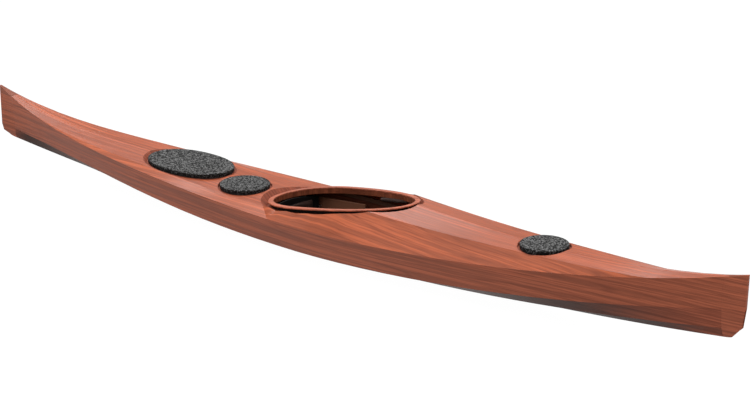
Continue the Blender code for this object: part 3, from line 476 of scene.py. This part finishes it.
class Finish(Enum):
    """Every finish on the boat, each made once."""

    OUTER_DECK_PORT = VarnishedWood("outer_deck_wood_port", (0.33, 0.076, 0.029), (0.3, 1.7, 0.4))
    OUTER_DECK_STARBOARD = VarnishedWood("outer_deck_wood_starboard", (0.33, 0.076, 0.029),
                                         (2.1, 0.2, 5.1))
    INNER_DECK_PORT = VarnishedWood("inner_deck_wood_port", (0.32, 0.072, 0.028), (4.3, 2.2, 0.9))
    INNER_DECK_STARBOARD = VarnishedWood("inner_deck_wood_starboard", (0.32, 0.072, 0.028),
                                         (7.7, 3.2, 1.9))
    # Hull sides and stems: a darker tone than the decks' as painted shade on the sides.
    SIDE_PORT = VarnishedWood("side_wood_port", (0.225, 0.059, 0.029),
                              (5.2, 4.2, 2.3), 0.45, 0.14, across=2)
    SIDE_STARBOARD = VarnishedWood("side_wood_starboard", (0.225, 0.059, 0.029),
                                   (1.2, 6.1, 3.1), 0.45, 0.14, across=2)
    # Bilge and bottom: the near-black tone amidships is painted shade on panels that face down; it runs into
    # the unshaded tone towards the ends.
    BILGE = VarnishedWood("bilge_wood", (0.045, 0.02, 0.015), (1.2, 6.1, 3.1), 0.5, 0.1, across=2,
                          unshaded_end_tone=(0.19, 0.05, 0.026))
    BOTTOM = VarnishedWood("bottom_wood", (0.03, 0.014, 0.011), (3.4, 0.6, 6.1), 0.55, 0.1, across=2,
                           unshaded_end_tone=(0.14, 0.038, 0.02), bow_blend=(1.95, 2.32))
    # Hatch pans and cockpit recess: darker than the deck as painted shade in the recesses.
    RECESS = VarnishedWood("recess_wood", (0.22, 0.056, 0.03), (1.1, 1.4, 1.6), 0.5, 0.15, fineness=1.6)
    LIP = VarnishedWood("lip_wood", (0.36, 0.1, 0.055), (6.1, 0.4, 2.6), 0.4, 0.2, fineness=2.2)
    RISER = VarnishedWood("riser_wood", (0.2, 0.055, 0.026), (2.7, 0.5, 3.3), 0.5, 0.15, fineness=1.8)
    # Clamps, hip plates and rail pads: near-black as painted shade inside the hull.
    STRUCTURE = VarnishedWood("inside_wood", (0.028, 0.009, 0.0045), (0.9, 3.9, 4.4), 0.75, 0.05)
    BULKHEAD = VarnishedWood("bulkhead_wood", (0.13, 0.04, 0.018),
                             (2.9, 1.9, 0.4), 0.6, 0.15, along=1, across=2)
    HATCH_TOP = SpeckledRubber("hatch_top_rubber", (0.004, 0.004, 0.004), (0.15, 0.15, 0.15), 165.0)
    # The covers' sides: a darker, sparser-flecked copy of the top rubber as painted shade.
    HATCH_SIDE = SpeckledRubber("hatch_side_rubber_shaded", (0.003, 0.003, 0.003), (0.07, 0.07, 0.07), 170.0, 0.3)
    BAND = SpeckledRubber("groove_rubber", (0.004, 0.004, 0.004), (0.02, 0.02, 0.02), 260.0, 0.3, 0.0002)
    GASKET = Foam("gasket_foam", (0.035, 0.035, 0.038))
    SEAT_FOAM = Foam("seat_base_foam", (0.02, 0.012, 0.01), 500.0)
    FABRIC = WovenCover("pad_fabric", (0.022, 0.009, 0.006))
    NYLON = MouldedNylon("pedal_nylon", (0.007, 0.006, 0.006))
    ALLOY = BrushedMetal("anodised_alloy", (0.55, 0.56, 0.58), 0.32)
    STEEL = BrushedMetal("stainless_steel", (0.6, 0.6, 0.62), 0.22)
    FLOOR = LitFloor("floor_paint", (0.04, 0.04, 0.04))

    def coat(self, obj: bpy.types.Object, slot: int | None = None) -> None:
        """Puts this finish on an object.

        Args:
            obj: The object.
            slot: Index of one of its material slots, or None for the whole object.
        """
        material = bpy.data.materials.get(self.value.name) or self.value.material()
        if slot is not None:
            obj.data.materials[slot] = material
            return
        if not obj.material_slots:
            obj.data.materials.append(material)
        for held in obj.material_slots:
            held.link = "OBJECT"
            held.material = material


# ---------------------------------------------------------------- mesh helpers


def add_object(name: str, mesh: bmesh.types.BMesh, smooth: bool = True) -> bpy.types.Object:
    """Makes an object of a mesh in the boat's frame.

    Args:
        name: The piece's name.
        mesh: The mesh, which is freed.
        smooth: Whether the faces are shaded smooth, with the sharper edges kept crisp.

    Returns:
        The new object.
    """
    bmesh.ops.recalc_face_normals(mesh, faces=mesh.faces)
    data = bpy.data.meshes.new(name)
    mesh.to_mesh(data)
    mesh.free()
    obj = bpy.data.objects.new(name, data)
    bpy.context.scene.collection.objects.link(obj)
    if smooth:
        data.shade_smooth()
        data.set_sharp_from_angle(angle=math.radians(BEVEL_ANGLE))
    return obj


def skin(rings: Sequence[Sequence[Vector]]) -> bmesh.types.BMesh:
    """A closed surface through rings of points that all have the same count.

    Args:
        rings: The rings in order. The first and the last are closed with a face.

    Returns:
        The mesh.
    """
    mesh = bmesh.new()
    rows = [[mesh.verts.new(point) for point in ring] for ring in rings]
    for first, second in zip(rows, rows[1:]):
        for index in range(len(first)):
            after = (index + 1) % len(first)
            mesh.faces.new((first[index], first[after], second[after], second[index]))
    mesh.faces.new(rows[0])
    mesh.faces.new(rows[-1])
    return mesh


def soften(obj: bpy.types.Object, width: float, segments: int = 2) -> None:
    """Rounds an object's sharp edges.

    Args:
        obj: The object.
        width: Width of the rounding in metres.
        segments: Steps in the rounding.
    """
    bevel = obj.modifiers.new("softened_edges", "BEVEL")
    bevel.width = width
    bevel.segments = segments
    bevel.limit_method = "ANGLE"
    bevel.angle_limit = math.radians(BEVEL_ANGLE)


class FairSurface:
    """Joins a model solid's separate triangles and shades its gentle bends as one fair curve."""

    group: bpy.types.NodeTree | None = None

    @classmethod
    def tree(cls) -> bpy.types.NodeTree:
        """The modifier's node group, which keeps edges above the crisp angle as they are.

        Returns:
            The node group, made the first time that it is asked for.
        """
        if cls.group is not None:
            return cls.group
        tree = bpy.data.node_groups.new("fair_surface", "GeometryNodeTree")
        tree.interface.new_socket("Geometry", in_out="INPUT", socket_type="NodeSocketGeometry")
        tree.interface.new_socket("Geometry", in_out="OUTPUT", socket_type="NodeSocketGeometry")
        start = tree.nodes.new("NodeGroupInput")
        join = tree.nodes.new("GeometryNodeMergeByDistance")
        join.inputs["Distance"].default_value = WELD_DISTANCE
        angle = tree.nodes.new("GeometryNodeInputMeshEdgeAngle")
        crisp = tree.nodes.new("FunctionNodeCompare")
        crisp.operation = "GREATER_THAN"
        crisp.inputs["B"].default_value = math.radians(CRISP_ANGLE)
        normals = tree.nodes.new("GeometryNodeSetMeshNormal")
        normals.mode = "SHARPNESS"
        normals.inputs["Remove Custom"].default_value = True
        normals.inputs["Face Sharpness"].default_value = False
        end = tree.nodes.new("NodeGroupOutput")
        tree.links.new(start.outputs[0], join.inputs["Geometry"])
        tree.links.new(angle.outputs["Unsigned Angle"], crisp.inputs["A"])
        tree.links.new(crisp.outputs["Result"], normals.inputs["Edge Sharpness"])
        tree.links.new(join.outputs["Geometry"], normals.inputs["Mesh"])
        tree.links.new(normals.outputs["Mesh"], end.inputs[0])
        cls.group = tree
        return tree

    @classmethod
    def on(cls, obj: bpy.types.Object) -> None:
        """Adds the modifier to an object."""
        modifier = obj.modifiers.new("fair_surface", "NODES")
        modifier.node_group = cls.tree()


def dress_node(name: str, finish: Finish, edge: float = 0.0) -> None:
    """Gives a model solid its finish, a fair surface and, where asked, rounded edges.

    Args:
        name: The node's name.
        finish: Its finish.
        edge: Width in metres of the rounding on its sharp edges, or 0 for none.
    """
    node = NODES[name]
    finish.coat(node)
    FairSurface.on(node)
    if edge > 0.0:
        soften(node, edge)
    LOG.info("dressed %s in %s", name, finish.value.name)


def settle(obj: bpy.types.Object, body: str, slot: str, *replaced: str) -> bpy.types.Object:
    """Fixes a new piece to its body and hides the solids that it stands for.

    Args:
        obj: The piece.
        body: The body that it moves with.
        slot: Name of the record's material slot for this piece; not used.
        *replaced: Model solids that are hidden because this piece stands for them.

    Returns:
        The piece.
    """
    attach(obj, body)
    if replaced:
        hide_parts(*replaced)
    LOG.info("built %s on %s", obj.name, body)
    return obj


# ---------------------------------------------------------------- studio


@dataclass
class Studio:
    """Camera, floor and soft light."""

    azimuth: float = 41.16
    elevation: float = 18.96
    distance: float = 12.10
    lens: float = 119.76
    sensor: float = 36.0
    aim: Colour = (0.306, 0.0, 0.2763)
    floor_half: float = 60.0
    sky: Colour = (0.345, 0.34, 0.33)
    top_light: float = 3.2
    top_spread: float = 100.0
    gloss_light: float = 0.8
    gloss_spread: float = 28.0
    gloss_from: Colour = (-0.52, 0.43, 0.74)

    def build(self) -> None:
        """Sets up the whole studio."""
        self.place_camera()
        self.lay_floor()
        self.hang_light("top_light", self.top_light, self.top_spread, (0.0, 0.0, 1.0))
        self.hang_light("gloss_light", self.gloss_light, self.gloss_spread, self.gloss_from)
        self.fill_sky()
        bpy.context.scene.view_settings.view_transform = "Standard"
        LOG.info("studio ready")

    def place_camera(self) -> None:
        """Puts the camera off the starboard bow, looking down at the boat."""
        data = bpy.data.cameras.new("camera")
        data.lens = self.lens
        data.sensor_width = self.sensor
        data.sensor_fit = "HORIZONTAL"
        camera = bpy.data.objects.new("camera", data)
        bpy.context.scene.collection.objects.link(camera)
        turn, tilt = math.radians(self.azimuth), math.radians(self.elevation)
        back = Vector((math.sin(turn) * math.cos(tilt), -math.cos(turn) * math.cos(tilt), math.sin(tilt)))
        right = Vector((math.cos(turn), math.sin(turn), 0.0))
        facing = Matrix((right, back.cross(right), back)).transposed().to_4x4()
        facing.translation = Vector(self.aim) + back * self.distance
        camera.matrix_world = facing
        bpy.context.scene.camera = camera

    def lay_floor(self) -> None:
        """Lays a wide floor just under the keel."""
        half = self.floor_half
        mesh = bmesh.new()
        corners = ((-half, -half), (half, -half), (half, half), (-half, half))
        mesh.faces.new([mesh.verts.new((x, y, 0.0)) for x, y in corners])
        floor = add_object("floor", mesh, smooth=False)
        Finish.FLOOR.coat(floor)

    def hang_light(self, name: str, strength: float, spread: float, source: Colour) -> None:
        """Hangs one very wide soft light.

        Args:
            name: The light's name.
            strength: Light falling on a surface that faces it.
            spread: Width of the light in degrees as the boat sees it.
            source: Direction from the boat to the light.
        """
        data = bpy.data.lights.new(name, "SUN")
        data.energy = strength
        data.angle = math.radians(spread)
        light = bpy.data.objects.new(name, data)
        bpy.context.scene.collection.objects.link(light)
        light.rotation_euler = Vector(source).to_track_quat("Z", "Y").to_euler()

    def fill_sky(self) -> None:
        """Makes the room round the boat an even grey."""
        world = bpy.data.worlds.new("room")
        world.use_nodes = True
        world.node_tree.nodes["Background"].inputs["Color"].default_value = (*self.sky, 1.0)
        bpy.context.scene.world = world


# ---------------------------------------------------------------- wooden skins


@dataclass
class WoodenSkins:
    """Hull panels, deck panels and the end pieces, all of varnished plywood."""

    def build(self) -> None:
        """Dresses every panel."""
        for side in SIDES:
            starboard = side == "starboard"
            outer = Finish.OUTER_DECK_STARBOARD if starboard else Finish.OUTER_DECK_PORT
            inner = Finish.INNER_DECK_STARBOARD if starboard else Finish.INNER_DECK_PORT
            hull = Finish.SIDE_STARBOARD if starboard else Finish.SIDE_PORT
            dress_node(f"hull_bottom_{side}", Finish.BOTTOM)
            dress_node(f"hull_bilge_{side}", Finish.BILGE)
            dress_node(f"hull_side_{side}", hull)
            dress_node(f"deck_outer_{side}", outer)
            for panel in ("aftdeck_inner", "foredeck_inner", "bowdeck_inner"):
                dress_node(f"{panel}_{side}", inner)
        dress_node("bow_stem", Finish.SIDE_STARBOARD)
        dress_node("stern_stem", Finish.SIDE_STARBOARD)


@dataclass
class InsideStructure:
    """Bulkheads, sheer clamps, hip plates and the pads behind the foot rails."""

    edge: float = 0.0012

    def build(self) -> None:
        """Dresses every piece of the structure."""
        for name in ("fore_bulkhead", "day_bulkhead", "aft_bulkhead"):
            dress_node(name, Finish.BULKHEAD, 0.0006)
        for side in SIDES:
            dress_node(f"sheer_clamp_{side}", Finish.STRUCTURE, self.edge)
            dress_node(f"hip_plate_{side}", Finish.STRUCTURE, self.edge)
            for end in ENDS:
                dress_node(f"rail_pad_{side}_{end}", Finish.STRUCTURE, self.edge)


# ---------------------------------------------------------------- hatches


@dataclass
class HatchCover:
    """One rubber lid: a pebbled top with a rounded edge over a thick skirt."""

    name: str
    power: float
    segments: int = 120
    edge_radius: float = 0.006
    edge_steps: int = 7
    skirt: float = 0.017
    top: float = 0.005
    crown: float = 0.0012
    foot_bevel: float = 0.0012
    bead: float = 0.0007
    bead_outside: float = 0.0022
    bead_inside: float = 0.0035
    inner_fillet: float = 0.002
    # Share of the edge radius below the top where the painted shade of the sides starts.
    shaded_side_share: float = 0.72
    top_rings: tuple[float, ...] = (0.0, 0.2, 0.4, 0.6, 0.75, 0.86)

    def outline(self, offset: float) -> list[tuple[float, float]]:
        """The cover's plan moved in by an offset.

        Args:
            offset: Distance inward in metres.

        Returns:
            Points of the outline.
        """
        low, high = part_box(f"{self.name}_hatch_cover")
        centre = (low + high) / 2
        half = (high - low) / 2
        points = []
        for index in range(self.segments):
            angle = 2 * math.pi * index / self.segments
            along, across = (math.copysign(abs(value) ** (2 / self.power), value)
                             for value in (math.cos(angle), math.sin(angle)))
            points.append((centre.x + (half.x - offset) * along, centre.y + (half.y - offset) * across))
        return points

    def profile(self) -> list[tuple[float, float]]:
        """The cover's section, from the top's middle round to the underside's middle.

        Returns:
            Distances in from the edge and heights above the foot.
        """
        low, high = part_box(f"{self.name}_hatch_cover")
        tall = high.z - low.z
        reach = min(high.x - low.x, high.y - low.y) / 2 - 0.0005
        steps = [reach * (1.0 - share) for share in self.top_rings]
        rings = []
        for inset in steps:
            share = min(inset / reach, 1.0)
            rings.append((inset, tall + self.crown * math.sin(share * math.pi / 2)))
        radius = self.edge_radius
        rings.append((radius + self.bead_inside, tall + 0.0001))
        rings.append((radius + self.bead_outside, tall + self.bead))
        for step in range(self.edge_steps + 1):
            angle = math.pi / 2 * step / self.edge_steps
            rings.append((radius * (1 - math.sin(angle)), tall - radius * (1 - math.cos(angle))))
        rings.append((0.0, self.foot_bevel + 0.0008))
        rings.append((0.0003, 0.0006))
        rings.append((self.foot_bevel, 0.0))
        rings.append((self.skirt - self.foot_bevel, 0.0))
        rings.append((self.skirt, self.foot_bevel))
        rings.append((self.skirt, tall - self.top - self.inner_fillet))
        rings.append((self.skirt + self.inner_fillet, tall - self.top))
        rings.extend((inset, tall - self.top) for inset in reversed(steps[:4]) if inset > self.skirt + 0.004)
        return rings

    def build(self) -> None:
        """Builds the cover in place of its solid."""
        low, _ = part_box(f"{self.name}_hatch_cover")
        rings = []
        for inset, height in self.profile():
            rings.append([Vector((x, y, low.z + height)) for x, y in self.outline(inset)])
        cover = add_object(f"{self.name}_hatch_lid", skin(rings))
        Finish.HATCH_TOP.coat(cover)
        cover.data.materials.append(None)
        Finish.HATCH_SIDE.coat(cover, 1)
        cover.material_slots[1].link = "DATA"
        top = max(vert.co.z for vert in cover.data.vertices)
        # Faces below the top's edge take the darker rubber as painted shade on the cover's sides.
        for face in cover.data.polygons:
            if face.center.z < top - self.edge_radius * self.shaded_side_share:
                face.material_index = 1
        settle(cover, f"{self.name}_hatch", "hatch_rubber", f"{self.name}_hatch_cover")


@dataclass
class HatchSet:
    """The three hatches, each a recessed pan, a gasket and a cover."""

    powers: tuple[tuple[str, float], ...] = (("fore", 2.0), ("day", 2.0), ("aft", 2.2))

    def build(self) -> None:
        """Builds the covers and dresses the pans and gaskets."""
        for name, power in self.powers:
            dress_node(f"{name}_hatch_pan", Finish.RECESS)
            dress_node(f"{name}_hatch_gasket", Finish.GASKET)
            HatchCover(name, power).build()


# ---------------------------------------------------------------- cockpit


@dataclass
class Coaming:
    """The lip round the cockpit on its riser, the black groove under it and the recess outside it."""

    lip_edge: float = 0.0012

    def build(self) -> None:
        """Dresses the four rings."""
        dress_node("coaming_lip", Finish.LIP, self.lip_edge)
        dress_node("coaming_riser", Finish.RISER)
        dress_node("coaming_channel_band", Finish.BAND)
        dress_node("cockpit_recess_pan", Finish.RECESS)


@dataclass
class SoftPiece:
    """A stuffed piece: its solid drawn in a little, then blown up again as cloth."""

    node: str
    body: str
    fill: float
    shrink: float = 0.003
    voxel: float = 0.005
    pressure: float = 4.0
    cap: float = 0.006
    proud: float = 0.004
    frames: int = 20

    def build(self) -> bpy.types.Object:
        """Builds the piece in place of its solid.

        Returns:
            The new piece.
        """
        mesh = bmesh.new()
        mesh.from_mesh(NODES[self.node].data)
        bmesh.ops.remove_doubles(mesh, verts=mesh.verts, dist=WELD_DISTANCE)
        bmesh.ops.recalc_face_normals(mesh, faces=mesh.faces)
        for vert in mesh.verts:
            vert.co = vert.co - vert.normal * self.shrink
        obj = add_object(f"{self.node}_cover", mesh)
        self.remesh(obj)
        self.swell(obj)
        self.smooth(obj)
        Finish.FABRIC.coat(obj)
        settle(obj, self.body, "padding", self.node)
        return obj

    def remesh(self, obj: bpy.types.Object) -> None:
        """Gives the shape an even mesh that can stretch like cloth.

        Args:
            obj: The piece.
        """
        even = obj.modifiers.new("even", "REMESH")
        even.mode = "VOXEL"
        even.voxel_size = self.voxel
        self.keep_result(obj)

    def keep_result(self, obj: bpy.types.Object) -> None:
        """Replaces the object's mesh with what its modifiers make of it, and removes them.

        Args:
            obj: The piece.
        """
        graph = bpy.context.evaluated_depsgraph_get()
        result = bpy.data.meshes.new_from_object(obj.evaluated_get(graph))
        obj.modifiers.clear()
        obj.data = result

    def swell(self, obj: bpy.types.Object) -> None:
        """Blows the shape up as cloth, with each point's travel capped.

        Args:
            obj: The piece, with an even mesh.
        """
        rest = [vert.co.copy() for vert in obj.data.vertices]
        cloth = obj.modifiers.new("swell", "CLOTH")
        cloth.settings.use_pressure = True
        cloth.settings.uniform_pressure_force = self.pressure
        cloth.settings.effector_weights.gravity = 0.0
        cloth.collision_settings.use_collision = False
        scene = bpy.context.scene
        for number in range(1, self.frames + 1):
            scene.frame_set(number)
        graph = bpy.context.evaluated_depsgraph_get()
        moved = [vert.co.copy() for vert in obj.evaluated_get(graph).data.vertices]
        obj.modifiers.clear()
        scene.frame_set(1)
        low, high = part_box(self.node)
        for vert, start, end in zip(obj.data.vertices, rest, moved):
            travel = end - start
            if travel.length > self.cap:
                travel = travel.normalized() * self.cap
            place = start + travel
            for axis in range(3):
                place[axis] = min(max(place[axis], low[axis] - self.proud), high[axis] + self.proud)
            vert.co = place
        obj.data.update()

    def smooth(self, obj: bpy.types.Object) -> None:
        """Rounds off the mesh and adds one subdivision.

        Args:
            obj: The piece, with its final points.
        """
        relax = obj.modifiers.new("relaxed", "SMOOTH")
        relax.factor = 0.5
        relax.iterations = 4
        finer = obj.modifiers.new("finer", "SUBSURF")
        finer.levels = 1
        finer.render_levels = 1
        obj.data.shade_smooth()


@dataclass
class Seat:
    """Foam seat base with a soft fabric-covered pad on top."""

    def build(self) -> None:
        """Dresses the base and builds the pad."""
        dress_node("seat_base", Finish.SEAT_FOAM, 0.003)
        SoftPiece("seat_pad", "boat", 0.6, cap=0.006, proud=0.003).build()


@dataclass
class BackBand:
    """A curved shell with a soft pad in front, hung on a pin at each end."""

    def build(self) -> None:
        """Dresses the shell and pins and builds the pad."""
        dress_node("back_band_shell", Finish.NYLON, 0.0015)
        SoftPiece("back_band_pad", "back_band", 0.6, shrink=0.002, voxel=0.004, cap=0.005).build()
        for side in SIDES:
            dress_node(f"back_band_pin_{side}", Finish.STEEL, 0.0005)


@dataclass
class ThighBraces:
    """Padded plates under the side decks."""

    def build(self) -> None:
        """Builds both braces."""
        for side in SIDES:
            SoftPiece(f"thigh_brace_{side}", "boat", 0.5, shrink=0.002, voxel=0.004, cap=0.004).build()


# ---------------------------------------------------------------- foot braces


@dataclass
class FootBrace:
    """One side's rail, pedal and locking lever."""

    side: str

    def build(self) -> None:
        """Dresses the rail, its bolts, the pedal and the lever."""
        dress_node(f"foot_rail_{self.side}", Finish.ALLOY, 0.0008)
        dress_node(f"foot_pedal_{self.side}", Finish.NYLON, 0.001)
        dress_node(f"lock_lever_{self.side}", Finish.ALLOY, 0.0006)
        for end in ENDS:
            dress_node(f"rail_bolt_{self.side}_{end}", Finish.STEEL, 0.0004)


# ---------------------------------------------------------------- the boat


def main() -> None:
    """Builds the studio and every sub-assembly in order."""
    logging.basicConfig(level=logging.INFO, format="%(message)s")
    Studio().build()
    assemblies = [WoodenSkins(), InsideStructure(), HatchSet(), Coaming(), Seat(), BackBand(), ThighBraces()]
    assemblies.extend(FootBrace(side) for side in SIDES)
    for assembly in assemblies:
        assembly.build()
        LOG.info("finished %s", type(assembly).__name__)


if __name__ == "__main__":
    main()
